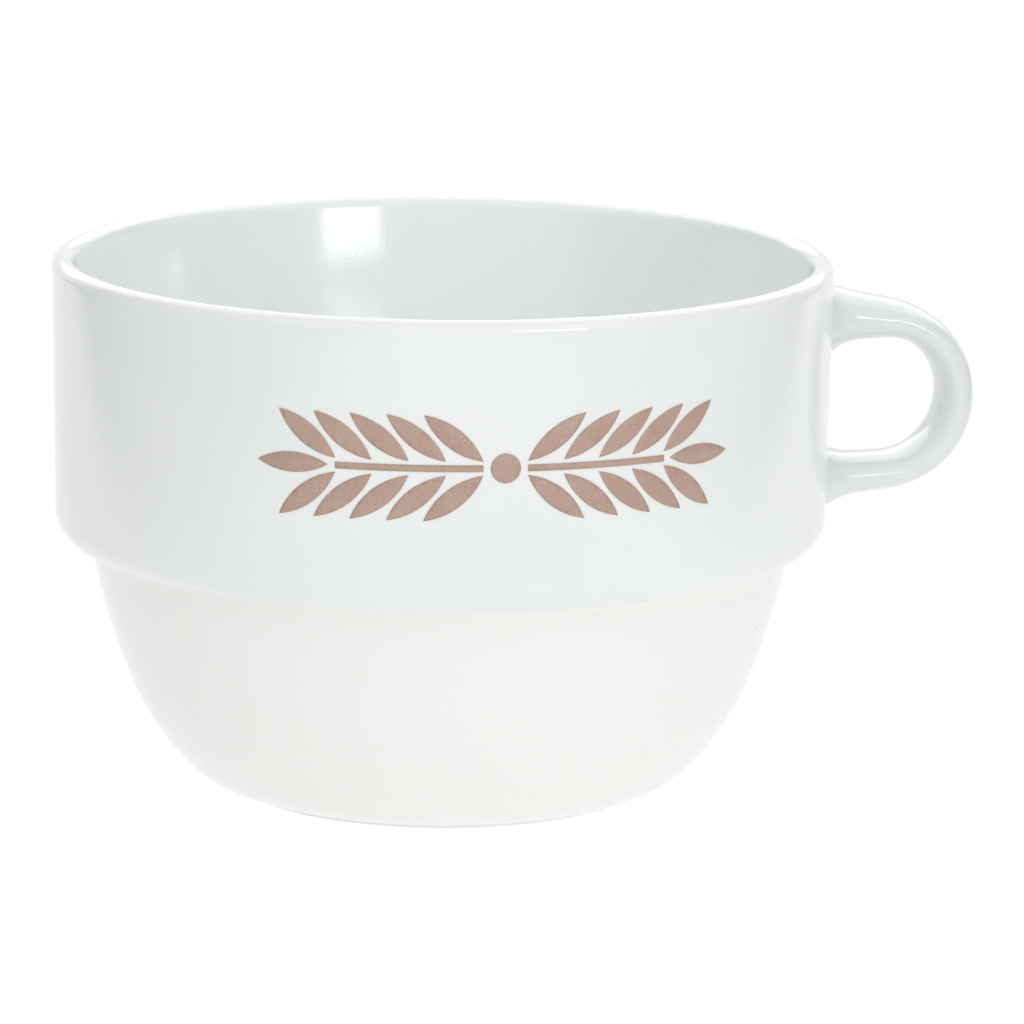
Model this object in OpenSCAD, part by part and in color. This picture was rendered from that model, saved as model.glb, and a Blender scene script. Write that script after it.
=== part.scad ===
// Stacking breakfast mug in white glazed earthenware
// Millimetres, +Z up, origin at the centre of the foot, handle towards +X, print towards -Y

/* [Cup] */
// Outer diameter of the band just under the lip
rim_d = 120; // [119:1:126]
// Height from the table to the crest of the lip
cup_h = 82.4; // [80:0.1:86]
// Thickness of the rounded lip
lip_t = 3.4; // [3:0.1:4]
// How much narrower in radius the band is at its lower end
band_draft = 0.4; // [0:0.1:0.8]

/* [Bowl] */
// Height of the underside of the stacking shoulder
shoulder_z = 38.4; // [37:0.1:40]
// Outer radius of the bowl right under the shoulder
bowl_top_r = 54.1; // [53:0.1:54.6]
// Small hollow radius where the bowl meets the shoulder
shoulder_cove_r = 0.8; // [0.5:0.1:1]
// Wall thickness of the bowl
bowl_wall = 6.1; // [5.7:0.1:6.5]

/* [Foot] */
// Height of the foot's upright edge under the bowl
foot_h = 0.4; // [0.3:0.05:0.8]
// Width of the bare foot ring
foot_w = 3; // [2:0.5:4]
// Depth of the hollow inside the foot ring
foot_recess = 1; // [0.6:0.1:1.4]

/* [Handle] */
// How far the handle stands out from the band
handle_reach = 23.8; // [22.5:0.1:26]
// Height of the middle of the handle
handle_z = 59.5; // [59:0.1:60.5]
// Radius of the handle's bend, along the middle of the strap
handle_bend_r = 12.1; // [11.6:0.1:12.4]
// Thickness of the strap, seen from the side
strap_t = 5.4; // [4.6:0.1:5.8]
// Width of the strap, seen from the end
strap_w = 12.4; // [10:0.1:13]
// Angle by which the two arms spread towards the cup
arm_spread = 4; // [2:0.5:5]
// Thickness of the slip that joins the handle to the cup
slip_t = 0.8; // [0.6:0.1:1]

/* [Print] */
// Thickness of the printed film
print_t = 0.1; // [0.08:0.01:0.2]
// Length of the printed garland round the band
print_len = 72; // [60:1:78]
// Height of the middle of the garland
print_z = 60.9; // [59:0.1:64]
// Length of one leaf
leaf_len = 11; // [8:0.5:12]
// Pairs of leaves on each half of the garland
leaf_pairs = 5; // [3:1:6]

/* [Hidden] */
$fn = 96;

glaze_white = "#eef2ef";
slip_white = "#e4e7e2";
print_taupe = "#b89e91";

// Steps on long arcs, on each half of the lip and on the shoulder's small hollow
arc_steps = 10;
lip_steps = 6;
cove_steps = 4;
function polar(r, a) = r * [cos(a), sin(a)];
function arc(c, r, a0, a1, n = arc_steps) = [for (i = [0 : n]) c + polar(r, a0 + (a1 - a0) * i / n)];

// Slopes of the bowl's wall from upright, from the shoulder down to the foot
slope_top = 10;
slope_upper = 22.4;
slope_lower = 44;
slope_foot = 80;

// Band, lip and shoulder
rim_r = rim_d / 2;
lip_r = lip_t / 2;
lip_z = cup_h - lip_r;
band_low_r = rim_r - band_draft;
shoulder_r = band_low_r - bowl_top_r - shoulder_cove_r * cos(slope_top);
shoulder_top_z = shoulder_z + shoulder_r;
function band_r(z) = rim_r - band_draft * (lip_z - z) / (lip_z - shoulder_top_z);

// The bowl's wall is three arcs that run into each other
upper_r = 102.5;
middle_r = 39;
bowl_top = [bowl_top_r, shoulder_z - shoulder_cove_r * (1 - sin(slope_top))];
upper_c = bowl_top - polar(upper_r, -slope_top);
middle_c = upper_c + polar(upper_r - middle_r, -slope_upper);
lower_start = middle_c + polar(middle_r, -slope_lower);
lower_r = (lower_start.y - foot_h) / (sin(slope_foot) - sin(slope_lower));
lower_c = lower_start - polar(lower_r, -slope_lower);
bowl_low_r = (lower_c + polar(lower_r, -slope_foot)).x;

// Foot ring
foot_in_r = bowl_low_r - foot_w;
recess_r = foot_in_r - foot_recess;

// The inside is one smooth wall: an arc runs down from the lip into a longer one that bends
// the other way, which goes as far as the bowl
lip_c = [rim_r - lip_r, lip_z];
mouth_slope = 8;
mouth_r = 115;
mouth = lip_c + polar(lip_r, 180 - mouth_slope);
mouth_c = mouth - polar(mouth_r, -mouth_slope);
inner_top = bowl_top - polar(bowl_wall, -slope_top);
wall_run = inner_top - mouth_c;
wall_r = (mouth_r * mouth_r - wall_run * wall_run) / (2 * (wall_run * polar(1, -slope_top) - mouth_r));
wall_c = inner_top + polar(wall_r, -slope_top);
wall_slope = atan2(mouth_c.y - wall_c.y, wall_c.x - mouth_c.x);

function foot_points() = [
    [0, foot_recess],
    [recess_r, foot_recess],
    [foot_in_r, 0],
    [bowl_low_r, 0],
];

function outside_points() = concat(
    arc(lower_c, lower_r, -slope_foot, -slope_lower),
    arc(middle_c, middle_r, -slope_lower, -slope_upper),
    arc(upper_c, upper_r, -slope_upper, -slope_top),
    arc(bowl_top + polar(shoulder_cove_r, -slope_top), shoulder_cove_r, 180 - slope_top, 90, cove_steps),
    arc([band_low_r - shoulder_r, shoulder_top_z], shoulder_r, -90, 0),
    arc(lip_c, lip_r, 0, 90, lip_steps)
);

function inside_points() = concat(
    arc(lip_c, lip_r, 90, 180 - mouth_slope, lip_steps),
    arc(mouth_c, mouth_r, -mouth_slope, -wall_slope),
    arc(wall_c, wall_r, 180 - wall_slope, 180 - slope_top),
    arc(upper_c, upper_r - bowl_wall, -slope_top, -slope_upper),
    arc(middle_c, middle_r - bowl_wall, -slope_upper, -slope_lower),
    arc(lower_c, lower_r - bowl_wall, -slope_lower, -90),
    [[0, lower_c.y - lower_r + bowl_wall]]
);

// Neighbouring arcs share their end points, which count once
same_point = 0.001;
function once(points) = [
    for (i = [0 : len(points) - 1])
        if (i == 0 || norm(points[i] - points[i - 1]) > same_point) points[i]
];

module cup_body() {
    color(glaze_white)
        rotate_extrude()
            polygon(once(concat(foot_points(), outside_points(), inside_points())));
}

// All that lies within a skin of this thickness on the band
skin_low = shoulder_z + 1;
module skin_outline(thick) {
    polygon([
        [0, skin_low],
        [band_r(skin_low) + thick, skin_low],
        [band_r(lip_z) + thick, lip_z],
        [0, lip_z],
    ]);
}

module within_skin(thick) {
    rotate_extrude()
        skin_outline(thick);
}

// The skin alone, which follows the band and the top of its shoulder
module band_skin(thick) {
    rotate_extrude()
        difference() {
            skin_outline(thick);
            polygon(once(concat([[0, cup_h], [0, foot_h]], outside_points())));
        }
}

// The handle's path: along the upper arm, round the bend and back along the lower arm
// It starts and ends inside the band's wall
root_depth = 2;
bend_c = [rim_r + handle_reach - strap_t / 2 - handle_bend_r, handle_z];
bend_end = 90 - arm_spread;
arm_run = (bend_c.x + handle_bend_r * cos(bend_end) - rim_r + root_depth) / cos(arm_spread);
bend_run = handle_bend_r * 2 * bend_end * PI / 180;
path_len = 2 * arm_run + bend_run;

function bend_angle(s) = bend_end - (s - arm_run) / handle_bend_r * 180 / PI;
function arm_point(s, side) =
    bend_c + polar(handle_bend_r, side * bend_end)
    + (arm_run - s) * [-cos(arm_spread), side * sin(arm_spread)];
function path_point(s) =
    s < arm_run ? arm_point(s, 1)
    : s > path_len - arm_run ? arm_point(path_len - s, -1)
    : bend_c + polar(handle_bend_r, bend_angle(s));
function path_out(s) =
    s < arm_run ? polar(1, bend_end)
    : s > path_len - arm_run ? polar(1, -bend_end)
    : polar(1, bend_angle(s));

// The strap grows gently along its arms and swells fast where it meets the cup
// Each pair of numbers is for the upper root and then the lower one
grow_len = 15.3;
grow_power = 1.5;
grow_out = [1.9, 0.8];
grow_in = [1.7, 0.6];
swell_len = 7;
swell_power = 3;
swell_out = [0.2, 1.6];
swell_in = [3, 2.4];
swell_side = 1.8;
root_s = root_depth / cos(arm_spread);
function root_near(s, run) = max(0, 1 - max(0, s - root_s) / run);
function grow(s) = pow(root_near(s, grow_len), grow_power);
function swell(s) = pow(root_near(s, swell_len), swell_power);
function end_s(s) = min(s, path_len - s);
function root_of(s) = s < path_len / 2 ? 0 : 1;

// One section of the strap: an oval a little squarer than an ellipse
section_sides = 28;
squareness = 2.25;
function rounded(v) = sign(v) * pow(abs(v), 2 / squareness);
function section(s) =
    let (
        root = root_of(s),
        grown = grow(end_s(s)),
        swollen = swell(end_s(s)),
        out_t = strap_t / 2 + grow_out[root] * grown + swell_out[root] * swollen,
        in_t = strap_t / 2 + grow_in[root] * grown + swell_in[root] * swollen,
        half_t = (out_t + in_t) / 2,
        off_t = (out_t - in_t) / 2,
        half_w = strap_w / 2 + swell_side * swollen,
        p = path_point(s),
        n = path_out(s)
    )
    [for (k = [0 : section_sides - 1])
        let (
            a = 360 * (k + 0.5) / section_sides,
            across = off_t + half_t * rounded(cos(a)),
            wide = half_w * rounded(sin(a))
        )
        [p.x + n.x * across, wide, p.y + n.y * across]
    ];

// Places along the path, closer together where the roots swell
root_steps = 10;
root_bunching = 1.2;
bend_steps = 28;
root_end = root_s + swell_len;
root_places = [for (i = [0 : root_steps]) root_end * pow(i / root_steps, root_bunching)];
mid_places = [for (i = [1 : bend_steps]) root_end + (path_len / 2 - root_end) * i / bend_steps];
half_places = concat(root_places, mid_places);
places = concat(
    half_places,
    [for (i = [len(half_places) - 2 : -1 : 0]) path_len - half_places[i]]
);

// A tube through a run of sections, closed at both ends
module strap(at) {
    rings = [for (s = at) section(s)];
    n = section_sides;
    last = len(at) - 1;
    walls = [
        for (i = [0 : last - 1], k = [0 : n - 1])
            let (a = i * n + k, b = i * n + (k + 1) % n)
            each [[a, a + n, b + n], [a, b + n, b]]
    ];
    start_cap = [for (k = [0 : n - 1]) k];
    end_cap = [for (k = [n - 1 : -1 : 0]) last * n + k];
    polyhedron([for (ring = rings) each ring], concat(walls, [start_cap, end_cap]));
}

module handle() {
    color(glaze_white)
        difference() {
            strap(places);
            within_skin(slip_t);
        }
}

// The slip between a root of the handle and the band
module handle_joint(at) {
    color(slip_white)
        intersection() {
            strap(at);
            band_skin(slip_t);
        }
}

module upper_handle_joint() {
    handle_joint(root_places);
}

module lower_handle_joint() {
    handle_joint([for (i = [root_steps : -1 : 0]) path_len - root_places[i]]);
}

// Printed garland: a stem with pairs of leaves that lean away from a berry in the middle
stem_w = 1;
berry_r = 2.2;
leaf_w = 3;
leaf_lean = 38;
leaf_arc_r = (leaf_len * leaf_len / 4 + leaf_w * leaf_w / 4) / leaf_w;
leaf_gap = 1.1;
// How far the shapes reach into the band and out of it before they are cut to its skin
print_bite = 3;

// A leaf is where two circles cross, with its stalk end at the origin
module leaf() {
    intersection_for (side = [-1, 1])
        translate([leaf_len / 2, side * (leaf_arc_r - leaf_w / 2)])
            circle(leaf_arc_r);
}

// Angle round the band for a length along the print
function around(along) = along / rim_r * 180 / PI;

// A flat shape set on the front of the band, then turned along the print
module on_band(along, up = 0) {
    rotate(around(along))
        translate([0, print_bite - rim_r, print_z + up])
            rotate([90, 0, 0])
                linear_extrude(2 * print_bite)
                    children();
}

module stem(from, to) {
    rotate(around(from) - 90)
        rotate_extrude(angle = around(to - from))
            translate([rim_r - print_bite, print_z - stem_w / 2])
                square([2 * print_bite, stem_w]);
}

// A leaf whose stalk end lies at a place along the print
module leaf_at(along, up, lean) {
    reach = leaf_len / 2 * cos(lean);
    on_band(along + reach, up)
        translate([-reach, 0])
            rotate(lean)
                leaf();
}

module half_garland() {
    first = berry_r + leaf_gap;
    stem_end = print_len / 2 - leaf_len;
    pitch = (stem_end - first) / (leaf_pairs - 1);
    stem(first, stem_end);
    for (i = [0 : leaf_pairs - 1], side = [-1, 1])
        leaf_at(first + pitch * i, side * (stem_w + leaf_gap) / 2, side * leaf_lean);
    leaf_at(stem_end + leaf_gap, 0, 0);
}

module printed_garland() {
    color(print_taupe)
        intersection() {
            band_skin(print_t);
            union() {
                on_band(0)
                    circle(berry_r);
                half_garland();
                mirror([1, 0, 0])
                    half_garland();
            }
        }
}

cup_body();
handle();
upper_handle_joint();
lower_handle_joint();
printed_garland();
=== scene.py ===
import math
import bpy
import bmesh
from mathutils import Matrix, Vector


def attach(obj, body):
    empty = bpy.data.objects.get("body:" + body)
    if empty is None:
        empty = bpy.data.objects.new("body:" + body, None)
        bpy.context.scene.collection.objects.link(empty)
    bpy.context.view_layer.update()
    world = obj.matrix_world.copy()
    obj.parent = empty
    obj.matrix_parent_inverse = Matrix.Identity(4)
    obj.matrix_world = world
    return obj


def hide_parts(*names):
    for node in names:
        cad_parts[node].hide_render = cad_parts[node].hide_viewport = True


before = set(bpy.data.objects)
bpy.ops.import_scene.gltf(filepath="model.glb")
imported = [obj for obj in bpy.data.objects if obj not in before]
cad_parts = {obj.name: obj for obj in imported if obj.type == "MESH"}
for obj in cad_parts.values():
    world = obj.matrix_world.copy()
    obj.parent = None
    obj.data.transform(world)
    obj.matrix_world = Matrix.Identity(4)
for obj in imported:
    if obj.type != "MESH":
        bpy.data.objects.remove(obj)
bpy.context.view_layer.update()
scene = bpy.context.scene
mm = 0.001
print("frame loaded, nodes:", len(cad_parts))


# camera, turned about the cup's axis, with the handle to the right of it
camera = {"azimuth": -9.0, "elevation": 11.89, "distance": 900 * mm, "aimHeight": 41.9 * mm,
          "pitch": 11.88, "yaw": 0.72, "roll": 0.78, "lens": 204, "sensor": 36, "clip": 10 * mm}
aimPoint = Vector((0, 0, camera["aimHeight"]))


def wayOut(turn, lift):  # direction from the cup's axis, level and through the print at 0, 0
    around = math.radians(turn)
    up = math.radians(lift)
    return Vector((math.sin(around) * math.cos(up), -math.cos(around) * math.cos(up), math.sin(up)))


def makeCamera():
    data = bpy.data.cameras.new("camera")
    data.lens = camera["lens"]
    data.sensor_width = camera["sensor"]
    data.clip_start = camera["clip"]
    eye = wayOut(camera["azimuth"], camera["elevation"]) * camera["distance"] + aimPoint
    aim = Matrix.Rotation(math.radians(camera["azimuth"] - camera["yaw"]), 4, "Z")
    tilt = Matrix.Rotation(math.radians(90 - camera["pitch"]), 4, "X")
    roll = Matrix.Rotation(math.radians(camera["roll"]), 4, "Z")
    made = bpy.data.objects.new("camera", data)
    made.matrix_world = Matrix.Translation(eye) @ aim @ tilt @ roll
    scene.collection.objects.link(made)
    scene.camera = made


makeCamera()
print("camera set")


# shader maths on sockets
class Shade:
    def __init__(self, tree, socket=None):
        self.tree = tree
        self.socket = socket

    def node(self, kind, settings=None, sockets=None, out=0):
        made = self.tree.nodes.new(kind)
        for name, value in (settings or {}).items():
            setattr(made, name, value)
        for key, value in (sockets or {}).items():
            if isinstance(value, Shade):
                self.tree.links.new(value.socket, made.inputs[key])
            else:
                made.inputs[key].default_value = value
        return Shade(self.tree, made.outputs[out] if len(made.outputs) else None)

    def maths(self, operation, first, second):
        return self.node("ShaderNodeMath", {"operation": operation}, {0: first, 1: second})

    def __add__(self, other):
        return self.maths("ADD", self, other)

    def __radd__(self, other):
        return self.maths("ADD", other, self)

    def __sub__(self, other):
        return self.maths("SUBTRACT", self, other)

    def __rsub__(self, other):
        return self.maths("SUBTRACT", other, self)

    def __mul__(self, other):
        return self.maths("MULTIPLY", self, other)

    def __rmul__(self, other):
        return self.maths("MULTIPLY", other, self)


def newShade(name):
    material = bpy.data.materials.new(name)
    material.use_nodes = True
    material.node_tree.nodes.clear()
    return material, Shade(material.node_tree)


def rise(shade, value, low, high):  # 0 below low, 1 above high, smooth between
    return shade.node("ShaderNodeMapRange", {"interpolation_type": "SMOOTHSTEP"},
                      {"Value": value, "From Min": low, "From Max": high})


def noise(shade, place, size, detail=2.0):  # size is a feature's size in metres
    return shade.node("ShaderNodeTexNoise", None,
                      {"Vector": place, "Scale": 1 / size, "Detail": detail, "Roughness": 0.5})


def dot(shade, first, second):
    return shade.node("ShaderNodeVectorMath", {"operation": "DOT_PRODUCT"}, {0: first, 1: second}, "Value")


def blend(shade, factor, first, second):
    return shade.node("ShaderNodeMix", {"data_type": "RGBA"}, {0: factor, 6: first, 7: second}, 2)


# white glaze over a cream clay, its specks sized as a share of the way from one to the next
# painted light among these tones: the bowl's is lighter for the bright floor below, the corner's is a paler
# band over the cove's shade, and the inner one is paler for the cup's shaded inside
glaze = {"white": (0.90, 0.93, 0.912, 1), "pooled": (0.87, 0.905, 0.888, 1), "lip": (0.92, 0.925, 0.905, 1),
         "bowl": (0.93, 0.951, 0.922, 1), "paintedCoveLight": (0.96, 0.962, 0.942, 1),
         "paintedInsideLight": (0.945, 0.975, 0.965, 1), "speck": (0.42, 0.38, 0.33, 1),
         "clay": (0.66, 0.57, 0.46, 1), "grit": (0.5676, 0.4902, 0.3956, 1),
         "cloudSize": 30 * mm, "cloudRange": (0.35, 0.75), "lipShare": 0.6,
         "speckApart": 14 * mm, "speckEdge": (0.014, 0.024), "speckShare": 0.5, "gritSize": 0.6 * mm,
         "gloss": 0.05, "glossVary": 0.02, "clayRough": 0.7,
         "wave": 18 * mm, "waveDepth": 0.05 * mm, "peel": 0.45 * mm, "peelDepth": 0.016 * mm}
# heights on the cup between which one tone gives way to the next, and the waver of the bare clay's edge
cupZones = {"lip": (80.4 * mm, 82.4 * mm), "bowl": (37 * mm, 39 * mm),
            "paintedCoveLightLow": (37 * mm, 37.8 * mm), "paintedCoveLightHigh": (38.6 * mm, 39.4 * mm),
            "bare": (0.01 * mm, 0.04 * mm), "waverRun": 3 * mm, "waver": 0.02 * mm,
            "outward": (-10 * mm, 10 * mm)}  # the radius times how far a face looks outwards
# the handle and its slips get a darker, greyer glaze than the cup, as painted shade on the handle
paintedShadeGlaze = {**glaze, "white": (0.80, 0.833, 0.82, 1), "pooled": (0.775, 0.81, 0.798, 1)}


def makeGlaze(name, coat, zones=None):
    material, shade = newShade(name)
    place = shade.node("ShaderNodeTexCoord", out="Object")
    height = shade.node("ShaderNodeSeparateXYZ", None, {0: place}, "Z")
    cloud = noise(shade, place, coat["cloudSize"], detail=3.0)
    colour = blend(shade, rise(shade, cloud, *coat["cloudRange"]), coat["white"], coat["pooled"])
    rough = coat["gloss"] + cloud * coat["glossVary"]
    if zones:
        # thin on the lip; a lighter, warmer colour on the bowl, painted light from the bright floor below;
        # and a paler band in the corner under the shoulder, a painted highlight over the cove's shade
        lip = rise(shade, height, *zones["lip"]) * coat["lipShare"]
        colour = blend(shade, lip, colour, coat["lip"])
        colour = blend(shade, rise(shade, height, *zones["bowl"]), coat["bowl"], colour)
        # painted highlight: a paler band in the cove under the shoulder lifts its shade
        paintedCoveLight = rise(shade, height, *zones["paintedCoveLightLow"]) * (1 - rise(shade, height, *zones["paintedCoveLightHigh"]))
        colour = blend(shade, paintedCoveLight, colour, coat["paintedCoveLight"])
        # faces that look towards the axis are inside; a paler, cooler colour there is painted light in the
        # shaded inside of the cup
        spoke = shade.node("ShaderNodeVectorMath", {"operation": "MULTIPLY"}, {0: place, 1: (1, 1, 0)})
        normal = shade.node("ShaderNodeNewGeometry", out="Normal")
        inside = 1 - rise(shade, dot(shade, spoke, normal), *zones["outward"])
        colour = blend(shade, inside, colour, coat["paintedInsideLight"])
    # a few pin specks in the glaze
    dots = shade.node("ShaderNodeTexVoronoi", None,
                      {"Vector": place, "Scale": 1 / coat["speckApart"]}, "Distance")
    speck = 1 - rise(shade, dots, *coat["speckEdge"])
    colour = blend(shade, speck * coat["speckShare"], colour, coat["speck"])
    if zones:
        # bare clay under the foot ring, up to a slightly uneven line
        waver = noise(shade, place, zones["waverRun"]) - 0.5
        bare = 1 - rise(shade, height + waver * zones["waver"], *zones["bare"])
        clay = blend(shade, noise(shade, place, coat["gritSize"]), coat["clay"], coat["grit"])
        colour = blend(shade, bare, colour, clay)
        rough = rough + bare * coat["clayRough"]
    wave = noise(shade, place, coat["wave"], detail=1.0)
    peel = noise(shade, place, coat["peel"])
    relief = wave * (coat["waveDepth"] / mm) + peel * (coat["peelDepth"] / mm)
    bump = shade.node("ShaderNodeBump", None, {"Height": relief, "Distance": mm, "Strength": 1.0})
    body = shade.node("ShaderNodeBsdfPrincipled", None, {
        "Base Color": colour, "Roughness": rough, "IOR": 1.5, "Normal": bump})
    shade.node("ShaderNodeOutputMaterial", None, {"Surface": body})
    return material


# taupe ceramic ink, a little grainy, with a thin glaze over it
ink = {"taupe": (0.474, 0.317, 0.25, 1), "pale": (0.534, 0.376, 0.303, 1), "grainSize": 0.35 * mm,
       "cloudSize": 6 * mm, "grainShare": 0.6, "paleRange": (0.38, 0.66), "rough": 0.38, "roughVary": 0.2,
       "relief": 0.02 * mm, "reliefShare": 0.6, "gloss": 0.4, "coat": 0.35, "coatRough": 0.12}


def makeInk(name):
    material, shade = newShade(name)
    place = shade.node("ShaderNodeTexCoord", out="Object")
    grain = noise(shade, place, ink["grainSize"], detail=3.0)
    cloud = noise(shade, place, ink["cloudSize"])
    mottle = grain * ink["grainShare"] + cloud * (1 - ink["grainShare"])
    colour = blend(shade, rise(shade, mottle, *ink["paleRange"]), ink["taupe"], ink["pale"])
    rough = ink["rough"] + grain * ink["roughVary"]
    bump = shade.node("ShaderNodeBump", None,
                      {"Height": grain, "Distance": ink["relief"], "Strength": ink["reliefShare"]})
    body = shade.node("ShaderNodeBsdfPrincipled", None, {
        "Base Color": colour, "Roughness": rough, "IOR": 1.5, "Specular IOR Level": ink["gloss"],
        "Coat Weight": ink["coat"], "Coat Roughness": ink["coatRough"], "Normal": bump})
    shade.node("ShaderNodeOutputMaterial", None, {"Surface": body})
    return material


# finished piece: a mesh in metres, on the one body, standing for its nodes
def finishPiece(bm, name, material, nodes, flow=None):
    bmesh.ops.scale(bm, vec=(mm, mm, mm), verts=bm.verts)
    for face in bm.faces:
        face.smooth = True
    normals = [v[flow] for v in bm.verts] if flow else None
    mesh = bpy.data.meshes.new(name)
    bm.to_mesh(mesh)
    bm.free()
    if normals:
        mesh.normals_split_custom_set_from_vertices(normals)
    mesh.materials.append(material)
    piece = bpy.data.objects.new(name, mesh)
    scene.collection.objects.link(piece)
    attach(piece, "root")
    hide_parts(*nodes)
    print(name, "made,", len(mesh.polygons), "faces")


# profile drawing: a vertex that runs on in lines and arcs in the XZ plane
def lineTo(bm, vert, x, z, steps):
    start = vert.co.copy()
    for i in range(1, steps + 1):
        vert = bmesh.ops.extrude_vert_indiv(bm, verts=[vert])["verts"][0]
        vert.co = start.lerp(Vector((x, 0, z)), i / steps)
    return vert


def lastVert(ret):  # where a spin of one vertex ends
    return next(part for part in ret["geom_last"] if isinstance(part, bmesh.types.BMVert))


def arcBy(bm, vert, centre, angle, steps):
    return lastVert(bmesh.ops.spin(bm, geom=[vert], cent=(centre[0], 0, centre[1]), axis=(0, -1, 0),
                                   angle=math.radians(angle), steps=steps))


def polar(radius, angle):
    return Vector((radius * math.cos(math.radians(angle)), radius * math.sin(math.radians(angle))))


# the cup: band, shoulder, bowl and foot in one, in millimetres
# the bowl's slopes are degrees from upright, from the shoulder down
cup = {"rimR": 60, "height": 82.4, "lip": 3.4, "draft": 0.4, "shoulderZ": 38.4, "bowlTopR": 54.1,
       "cove": 0.8, "slopes": (10, 22.4, 44, 80), "bowlR": (102.5, 39), "bowlWall": 6.1,
       "footH": 0.4, "footW": 3, "footRound": 0.1, "recess": 1, "mouthSlope": 8, "mouthR": 115,
       "turns": 288, "weld": 0.001}
lipR = cup["lip"] / 2
lipZ = cup["height"] - lipR
bandLowR = cup["rimR"] - cup["draft"]
shoulderR = bandLowR - cup["bowlTopR"] - cup["cove"] * math.cos(math.radians(cup["slopes"][0]))
shoulderTopZ = cup["shoulderZ"] + shoulderR


def bandR(z):  # outer radius of the band, and of the shoulder under it
    if z >= shoulderTopZ:
        return cup["rimR"] - cup["draft"] * (lipZ - z) / (lipZ - shoulderTopZ)
    drop = min(shoulderTopZ - z, shoulderR)
    return bandLowR - shoulderR + math.sqrt(shoulderR ** 2 - drop ** 2)


def makeCup(material):
    top, upper, lower, foot = cup["slopes"]
    upperR, middleR = cup["bowlR"]
    mouthR = cup["mouthR"]
    mouthSlope = cup["mouthSlope"]
    coveDrop = cup["cove"] * (1 - math.sin(math.radians(top)))
    bowlTop = Vector((cup["bowlTopR"], cup["shoulderZ"] - coveDrop))
    upperC = bowlTop - polar(upperR, -top)
    middleC = upperC + polar(upperR - middleR, -upper)
    lowStart = middleC + polar(middleR, -lower)
    lowR = (lowStart.y - cup["footH"]) / (math.sin(math.radians(foot)) - math.sin(math.radians(lower)))
    lowC = lowStart - polar(lowR, -lower)
    bowlLow = lowC + polar(lowR, -foot)
    footOut = bowlLow.x
    footIn = footOut - cup["footW"]
    lipC = Vector((cup["rimR"] - lipR, lipZ))
    mouth = lipC + polar(lipR, 180 - mouthSlope)
    # inside, an arc runs down from the lip into a longer one that bends the other way, as far as the bowl
    mouthC = mouth - polar(mouthR, -mouthSlope)
    innerTop = bowlTop - polar(cup["bowlWall"], -top)
    run = innerTop - mouthC
    wallR = (mouthR ** 2 - run.dot(run)) / (2 * (run.dot(polar(1, -top)) - mouthR))
    wallC = innerTop + polar(wallR, -top)
    wallSlope = math.degrees(math.atan2(mouthC.y - wallC.y, wallC.x - mouthC.x))

    # the outline, from the axis under the foot to the axis inside; each stretch ends in its number of steps
    bm = bmesh.new()
    v = bm.verts.new((0, 0, cup["recess"]))
    v = lineTo(bm, v, footIn - cup["recess"], cup["recess"], 6)
    v = lineTo(bm, v, footIn, 0, 3)
    v = lineTo(bm, v, footOut, 0, 3)
    v = lineTo(bm, v, bowlLow.x, bowlLow.y, 2)
    v = arcBy(bm, v, lowC, foot - lower, 18)
    v = arcBy(bm, v, middleC, lower - upper, 12)
    v = arcBy(bm, v, upperC, upper - top, 12)
    v = arcBy(bm, v, bowlTop + polar(cup["cove"], -top), top - 90, 6)
    v = arcBy(bm, v, (bandLowR - shoulderR, shoulderTopZ), 90, 16)
    v = lineTo(bm, v, cup["rimR"], lipZ, 26)
    v = arcBy(bm, v, lipC, 180 - mouthSlope, 24)
    v = arcBy(bm, v, mouthC, mouthSlope - wallSlope, 12)
    v = arcBy(bm, v, wallC, wallSlope - top, 16)
    v = arcBy(bm, v, upperC, top - upper, 10)
    v = arcBy(bm, v, middleC, upper - lower, 10)
    v = arcBy(bm, v, lowC, lower - 90, 14)
    lineTo(bm, v, 0, v.co.z, 6)
    bmesh.ops.spin(bm, geom=bm.verts[:] + bm.edges[:], cent=(0, 0, 0), axis=(0, 0, 1),
                   angle=math.tau, steps=cup["turns"], use_merge=True)
    bmesh.ops.remove_doubles(bm, verts=bm.verts, dist=cup["weld"])
    bmesh.ops.recalc_face_normals(bm, faces=bm.faces)

    # rounded edges on the foot ring
    footEdges = []
    for edge in bm.edges:
        low = all(abs(v.co.z) < cup["weld"] for v in edge.verts)
        for radius in (footIn, footOut):
            if low and all(abs(v.co.xy.length - radius) < 10 * cup["weld"] for v in edge.verts):
                footEdges.append(edge)
    bmesh.ops.bevel(bm, geom=footEdges, offset=cup["footRound"], affect="EDGES", segments=3,
                    profile=0.5, material=-1)
    finishPiece(bm, "cupBody", material, ["cup_body"])


# the handle: a rounded strap that swells towards its two roots, and the slip under each root
# of a pair of values, the first is for the upper root
handle = {"reach": 23.8, "z": 59.5, "bendR": 12.1, "thick": 5.4, "wide": 12.4, "spread": 4,
          "growLen": 15.3, "growPower": 1.5, "growOut": (1.9, 0.8), "growIn": (1.7, 0.6),
          "swellLen": 7, "swellPower": 3, "swellOut": (0.2, 1.6), "swellIn": (3, 2.4), "swellSide": 1.8,
          "slip": 0.8, "cove": 0.5, "inside": 0.3, "squareness": 2.25, "sides": 64,
          "slipRings": 10, "rootRings": 18, "bendRings": 26}
bendX = handle["reach"] - handle["thick"] / 2 - handle["bendR"]
bendEnd = 90 - handle["spread"]
armSlope = math.radians(handle["spread"])
armRun = (bendX + handle["bendR"] * math.cos(math.radians(bendEnd))) / math.cos(armSlope)
strapLen = 2 * armRun + 2 * handle["bendR"] * math.radians(bendEnd)


def fade(far, length, power):  # 1 at the band, 0 from length on
    return max(0, 1 - max(0, far) / length) ** power


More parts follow.
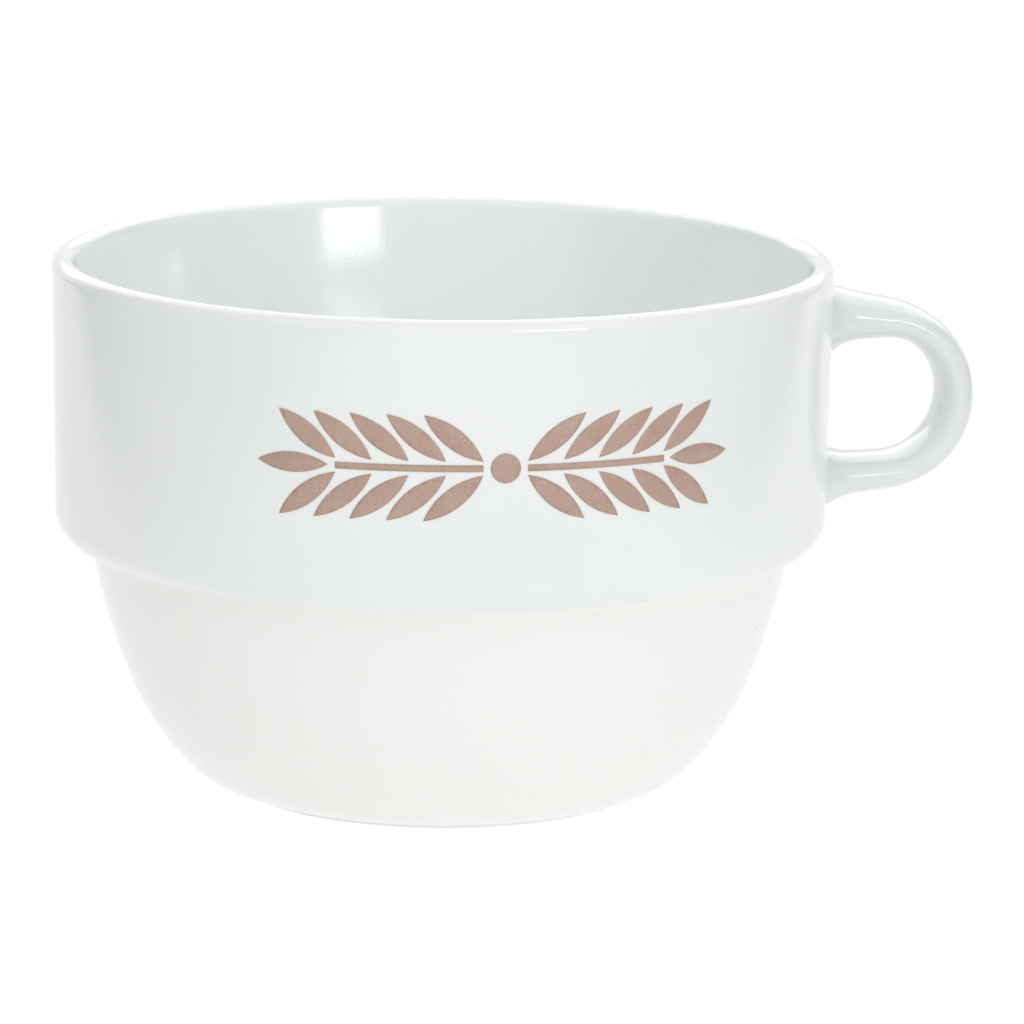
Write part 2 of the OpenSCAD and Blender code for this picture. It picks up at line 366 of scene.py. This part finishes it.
def strapFrame(s):  # s runs from the band at the upper root to the band at the lower one
    root = 0 if s < strapLen / 2 else 1
    side = 1 - 2 * root
    far = min(s, strapLen - s)
    onArm = far < armRun
    angle = side * bendEnd if onArm else bendEnd - math.degrees((s - armRun) / handle["bendR"])
    point = Vector((cup["rimR"] + bendX, handle["z"])) + polar(handle["bendR"], angle)
    if onArm:
        point += (armRun - far) * Vector((-math.cos(armSlope), side * math.sin(armSlope)))
    out = polar(1, angle)
    grow = fade(far, handle["growLen"], handle["growPower"])
    swell = fade(far, handle["swellLen"], handle["swellPower"])
    # the slip's fillet against the band
    close = min(handle["cove"], max(0, handle["cove"] - far))
    cove = handle["cove"] - math.sqrt(handle["cove"] ** 2 - close ** 2)
    outT = handle["thick"] / 2 + handle["growOut"][root] * grow + handle["swellOut"][root] * swell + cove
    inT = handle["thick"] / 2 + handle["growIn"][root] * grow + handle["swellIn"][root] * swell + cove
    halfT = (outT + inT) / 2
    halfW = handle["wide"] / 2 + handle["swellSide"] * swell + cove
    middle = point + out * (outT - inT) / 2
    along = out.yx * Vector((1, -1))
    return Matrix((
        (out.x * halfT, 0, along.x, middle.x),
        (0, halfW, 0, 0),
        (out.y * halfT, 0, along.y, middle.y),
        (0, 0, 0, 1)))


def evenPlaces(start, end, count):  # after the start, up to the end
    return [start + (end - start) * i / count for i in range(1, count + 1)]


def makeStrap():  # the whole strap, with the number of its ring on every vertex
    half = [-handle["inside"]]
    half += evenPlaces(-handle["inside"], handle["slip"], handle["slipRings"])
    half += evenPlaces(handle["slip"], handle["swellLen"], handle["rootRings"])
    half += evenPlaces(handle["swellLen"], strapLen / 2, handle["bendRings"])
    places = half + [strapLen - s for s in reversed(half[:-1])]

    bm = bmesh.new()
    ringOf = bm.verts.layers.int.new("ring")
    flow = bm.verts.layers.float_vector.new("flow")
    bmesh.ops.create_circle(bm, radius=1, segments=handle["sides"])
    for v in bm.verts:
        for axis in (0, 1):
            v.co[axis] = math.copysign(abs(v.co[axis]) ** (2 / handle["squareness"]), v.co[axis])
    last = strapFrame(places[0])
    bmesh.ops.transform(bm, matrix=last, verts=bm.verts)
    edges = bm.edges[:]
    for ring, s in enumerate(places[1:], 1):
        ret = bmesh.ops.extrude_edge_only(bm, edges=edges)
        verts = [part for part in ret["geom"] if isinstance(part, bmesh.types.BMVert)]
        fresh = set(verts)
        edges = [part for part in ret["geom"]
                 if isinstance(part, bmesh.types.BMEdge) and fresh.issuperset(part.verts)]
        turn = strapFrame(s)
        bmesh.ops.transform(bm, matrix=turn @ last.inverted(), verts=verts)
        for v in verts:
            v[ringOf] = ring
        last = turn
    # the roots follow the round of the band
    for v in bm.verts:
        flush = math.sqrt(bandR(v.co.z) ** 2 - v.co.y ** 2)
        v.co.x += (flush - cup["rimR"]) * fade(v.co.x - cup["rimR"], handle["swellLen"], 2)
    bmesh.ops.recalc_face_normals(bm, faces=bm.faces)
    bm.normal_update()
    for v in bm.verts:
        v[flow] = v.normal
    return bm, len(places) - 1


def cutStrap(strap, first, last, name, material, node):  # one stretch of the strap, closed at its ends
    bm = strap.copy()
    ringOf = bm.verts.layers.int["ring"]
    flow = bm.verts.layers.float_vector["flow"]
    spare = [v for v in bm.verts if not first <= v[ringOf] <= last]
    bmesh.ops.delete(bm, geom=spare, context="VERTS")
    for end in (first, last):
        edges = [e for e in bm.edges if e.is_boundary and all(v[ringOf] == end for v in e.verts)]
        bmesh.ops.contextual_create(bm, geom=edges)
    bmesh.ops.recalc_face_normals(bm, faces=bm.faces)
    finishPiece(bm, name, material, [node], flow)


# the printed garland, drawn flat and wrapped round the band
garland = {"length": 72, "z": 60.9, "film": 0.1, "stem": 1, "berryR": 2.2, "berrySides": 48,
           "leaf": 11, "leafW": 3, "leafSteps": 14, "lean": 38, "gap": 1.1, "pairs": 5, "cut": 0.5}


def addLeaf(bm, x, z, lean, flip):
    leafR = (garland["leaf"] ** 2 + garland["leafW"] ** 2) / (4 * garland["leafW"])
    sweep = 2 * math.asin(garland["leaf"] / 2 / leafR)
    tip = bm.verts.new((0, 0, 0))
    linked = {tip}
    for side in (-1, 1):
        centre = (garland["leaf"] / 2, side * (leafR - garland["leafW"] / 2), 0)
        tip = lastVert(bmesh.ops.spin(bm, geom=[tip], cent=centre, axis=(0, 0, 1), angle=-sweep,
                                      steps=garland["leafSteps"]))
        linked.add(tip)
    more = linked
    while more:
        more = {e.other_vert(v) for v in linked for e in v.link_edges} - linked
        linked |= more
    bmesh.ops.contextual_create(bm, geom=list({e for v in linked for e in v.link_edges}))
    place = Matrix.Translation((x, z, 0)) @ Matrix.Rotation(math.radians(lean), 4, "Z")
    bmesh.ops.transform(bm, matrix=Matrix.Diagonal((flip, 1, 1, 1)) @ place, verts=list(linked))


def makeGarland(material):
    bm = bmesh.new()
    bmesh.ops.create_circle(bm, cap_ends=True, radius=garland["berryR"], segments=garland["berrySides"])
    first = garland["berryR"] + garland["gap"]
    halfLen = garland["length"] / 2
    stemLen = halfLen - garland["leaf"] - first
    pitch = stemLen / (garland["pairs"] - 1)
    leafZ = (garland["stem"] + garland["gap"]) / 2
    for flip in (1, -1):
        middle = Matrix.Translation((flip * (first + stemLen / 2), 0, 0))
        stem = middle @ Matrix.Diagonal((stemLen, garland["stem"], 1, 1))
        bmesh.ops.create_grid(bm, x_segments=1, y_segments=1, size=0.5, matrix=stem)
        for i in range(garland["pairs"]):
            for side in (-1, 1):
                addLeaf(bm, first + pitch * i, side * leafZ, side * garland["lean"], flip)
        addLeaf(bm, halfLen - garland["leaf"] + garland["gap"], 0, 0, flip)
    bmesh.ops.remove_doubles(bm, verts=bm.verts, dist=cup["weld"])
    bmesh.ops.recalc_face_normals(bm, faces=bm.faces)
    bmesh.ops.triangulate(bm, faces=bm.faces)
    # narrow strips, so that the film bends with the band
    cuts = math.ceil((halfLen + garland["gap"]) / garland["cut"])
    for i in range(-cuts, cuts + 1):
        bmesh.ops.bisect_plane(bm, geom=bm.verts[:] + bm.edges[:] + bm.faces[:], dist=0.01 * cup["weld"],
                               plane_co=(i * garland["cut"], 0, 0), plane_no=(1, 0, 0))
    for v in bm.verts:
        z = garland["z"] + v.co.y
        around = v.co.x / cup["rimR"]
        v.co = (bandR(z) * math.sin(around), -bandR(z) * math.cos(around), z)
    film = bmesh.ops.extrude_face_region(bm, geom=bm.faces[:], use_keep_orig=True)
    for part in film["geom"]:
        if isinstance(part, bmesh.types.BMVert):
            part.co.xy *= 1 + garland["film"] / part.co.xy.length
    bmesh.ops.recalc_face_normals(bm, faces=bm.faces)
    finishPiece(bm, "printedGarland", material, ["printed_garland"])


makeCup(makeGlaze("whiteGlaze", glaze, cupZones))
# painted shade: the handle and slip glazes are darker than the cup's
handleGlaze = makeGlaze("handleGlaze", paintedShadeGlaze)
slipGlaze = makeGlaze("slipGlaze", paintedShadeGlaze)
strap, lastRing = makeStrap()
upperEnd = handle["slipRings"]
lowerEnd = lastRing - handle["slipRings"]
cutStrap(strap, upperEnd, lowerEnd, "loopHandle", handleGlaze, "handle")
cutStrap(strap, 0, upperEnd, "upperSlip", slipGlaze, "upper_handle_joint")
cutStrap(strap, lowerEnd, lastRing, "lowerSlip", slipGlaze, "lower_handle_joint")
strap.free()
makeGarland(makeInk("taupeInk"))


# floor, surround and lamps, in metres and in degrees from the camera's side
studio = {"floor": 6, "floorTone": (0.85, 0.845, 0.83, 1), "floorClear": 0.985, "floorGlow": 0.68,
          "ambient": (0.58, 0.58, 0.58, 1), "white": (1, 1, 1, 1), "dark": (0.2, 0.2, 0.2, 1),
          "wing": (0.62, 0.82), "flank": (0.2, 0.31), "flankTurn": 0.5}
# a lamp that lights nothing is a card, seen only as it is mirrored in the glaze
lamps = [
    {"name": "frontCard", "turn": 30.8, "rise": 11.4, "away": 1.2, "size": (0.42, 0.188), "radiance": 6,
     "lights": False, "mirrored": True},
    {"name": "sideCard", "turn": 101, "rise": 9.8, "away": 1.2, "size": (0.16, 0.11), "radiance": 3,
     "lights": False, "mirrored": True},
    {"name": "skyCard", "turn": 180, "rise": 48.5, "away": 1.3, "size": (2, 1.75), "radiance": 1.45,
     "lights": False, "mirrored": True},
    {"name": "key", "turn": 30.4, "rise": 9, "away": 1.2, "size": (0.425, 0.38), "radiance": 3.3,
     "lights": True, "mirrored": False},
    {"name": "high", "turn": 0, "rise": 50, "away": 1.3, "size": (1.2, 0.9), "radiance": 0.85,
     "lights": True, "mirrored": False},
    {"name": "top", "turn": 0, "rise": 88, "away": 1.0, "size": (0.6, 0.6), "radiance": 0.8,
     "lights": True, "mirrored": False},
    {"name": "back", "turn": 180, "rise": 12, "away": 1.2, "size": (1.6, 0.5), "radiance": 2,
     "lights": True, "mirrored": False},
]
rightWay = wayOut(camera["azimuth"] + 90, 0)
backWay = wayOut(camera["azimuth"] + 180, 0)


def seenRays(shade):  # rays that show the white surround itself
    straight = shade.node("ShaderNodeLightPath", out="Is Camera Ray")
    mirrored = shade.node("ShaderNodeLightPath", out="Is Glossy Ray")
    through = shade.node("ShaderNodeLightPath", out="Is Transmission Ray")
    return shade.maths("MAXIMUM", shade.maths("MAXIMUM", straight, mirrored), through)


def surroundTone(shade, darkness):  # white, or dark where the mirrored surround ends
    mirrored = shade.node("ShaderNodeLightPath", out="Is Glossy Ray")
    return blend(shade, darkness * mirrored, studio["white"], studio["dark"])


def makeWorld():
    world = bpy.data.worlds.new("studio")
    scene.world = world
    world.use_nodes = True
    world.node_tree.nodes.clear()
    shade = Shade(world.node_tree)
    # mirrored in the glaze, the white surround ends in dark wings to the left and right
    across = dot(shade, shade.node("ShaderNodeTexCoord", out="Generated"), rightWay)
    wing = rise(shade, shade.maths("ABSOLUTE", across, 0.0), *studio["wing"])
    soft = shade.node("ShaderNodeBackground", None, {"Color": studio["ambient"], "Strength": 1.0})
    white = shade.node("ShaderNodeBackground", None, {"Color": surroundTone(shade, wing), "Strength": 1.0})
    both = shade.node("ShaderNodeMixShader", None, {0: seenRays(shade), 1: soft, 2: white})
    shade.node("ShaderNodeOutputWorld", None, {"Surface": both})


def makeFloor():
    material, shade = newShade("paleFloor")
    place = shade.node("ShaderNodeTexCoord", out="Object")
    # it ends in dark flanks too, wider apart at the back
    right = shade.maths("ABSOLUTE", dot(shade, place, rightWay), 0.0)
    behind = shade.maths("MAXIMUM", dot(shade, place, backWay), 0.0)
    flank = rise(shade, right - behind * studio["flankTurn"], *studio["flank"])
    matt = shade.node("ShaderNodeBsdfDiffuse", None, {"Color": studio["floorTone"]})
    clear = shade.node("ShaderNodeEmission", None, {"Color": surroundTone(shade, flank), "Strength": 1.0})
    lit = shade.maths("MAXIMUM", seenRays(shade) * studio["floorClear"], studio["floorGlow"])
    both = shade.node("ShaderNodeMixShader", None, {0: lit, 1: matt, 2: clear})
    shade.node("ShaderNodeOutputMaterial", None, {"Surface": both})
    bm = bmesh.new()
    bmesh.ops.create_grid(bm, x_segments=1, y_segments=1, size=studio["floor"] / 2)
    mesh = bpy.data.meshes.new("floor")
    bm.to_mesh(mesh)
    bm.free()
    mesh.materials.append(material)
    floor = bpy.data.objects.new("floor", mesh)
    scene.collection.objects.link(floor)


def makeLamp(lamp):
    way = wayOut(camera["azimuth"] + lamp["turn"], lamp["rise"])
    data = bpy.data.lights.new(lamp["name"], "AREA")
    data.shape = "RECTANGLE"
    data.size, data.size_y = lamp["size"]
    data.energy = lamp["radiance"] * math.pi * data.size * data.size_y
    made = bpy.data.objects.new(lamp["name"], data)
    facing = way.to_track_quat("Z", "Y").to_matrix().to_4x4()
    made.matrix_world = Matrix.Translation(aimPoint + way * lamp["away"]) @ facing
    made.visible_camera = False
    made.visible_diffuse = lamp["lights"]
    made.visible_glossy = lamp["mirrored"]
    scene.collection.objects.link(made)


makeWorld()
makeFloor()
for lamp in lamps:
    makeLamp(lamp)
scene.view_settings.view_transform = "Standard"
print("studio lit")
